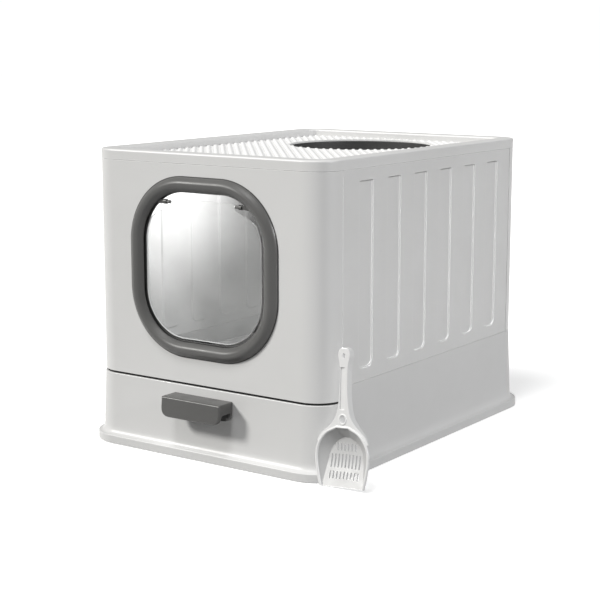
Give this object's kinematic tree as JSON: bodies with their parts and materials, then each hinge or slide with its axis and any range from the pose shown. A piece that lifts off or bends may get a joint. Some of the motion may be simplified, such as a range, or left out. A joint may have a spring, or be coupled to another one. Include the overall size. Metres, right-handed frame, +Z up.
{
  "type": "cat litter box with hood",
  "caption": "Enclosed cat litter box with a front drawer, a round-cornered front door with a clear swinging flap, a lift-off perforated top with a round exit, fluted sides and a slotted scoop.",
  "frame": {"origin": "middle of the body's footprint, on the floor, on the underside of the base", "axes": "+Z up; +Y from the door at the front to the back; +X to the right of someone who faces the door"},
  "size_m": [0.4332, 0.528, 0.378],
  "materials": {
    "white_plastic": "satin, fine grain",
    "pale_plastic": "satin",
    "grey_plastic": "satin",
    "clear_plastic": "clear, polished",
    "steel": "plain"
  },
  "bodies": {
    "cabinet": {"base_tub": "pale_plastic", "runner_left": "pale_plastic", "runner_right": "pale_plastic", "hood_front": "white_plastic", "hood_rear": "white_plastic", "hood_left": "white_plastic", "hood_right": "white_plastic", "clip_front_left": "pale_plastic", "clip_front_right": "pale_plastic", "clip_rear_left": "pale_plastic", "clip_rear_right": "pale_plastic", "door_ring_outer": "grey_plastic", "door_ring_inner": "grey_plastic", "pivot_boss_left": "grey_plastic", "pivot_boss_right": "grey_plastic"},
    "drawer": {"drawer_tray": "pale_plastic", "drawer_front": "white_plastic", "drawer_handle": "grey_plastic", "handle_screw_left": "steel", "handle_screw_right": "steel"},
    "flap": {"door_flap": "clear_plastic", "flap_pin_left": "grey_plastic", "flap_pin_right": "grey_plastic"},
    "cover": {"top_cover": "white_plastic", "step_mat": "white_plastic", "roof_collar": "grey_plastic"},
    "scoop": {"scoop": "pale_plastic"}
  },
  "joints": [
    {"name": "drawer_slide", "type": "slide", "parent": "cabinet", "child": "drawer", "axis": [0, -1, 0], "range_m": [0, 0.3]},
    {"name": "flap_swing", "type": "hinge", "parent": "cabinet", "child": "flap", "pos_m": [0, -0.2415, 0.3175], "axis": [1, 0, 0], "range_deg": [-75, 75]},
    {"name": "cover_lift", "type": "slide", "parent": "cabinet", "child": "cover", "axis": [0, 0, 1], "range_m": [0, 0.12]},
    {"name": "scoop_lift", "type": "slide", "parent": "drawer", "child": "scoop", "axis": [0, -0.6, 0.8], "range_m": [0, 0.2]}
  ]
}
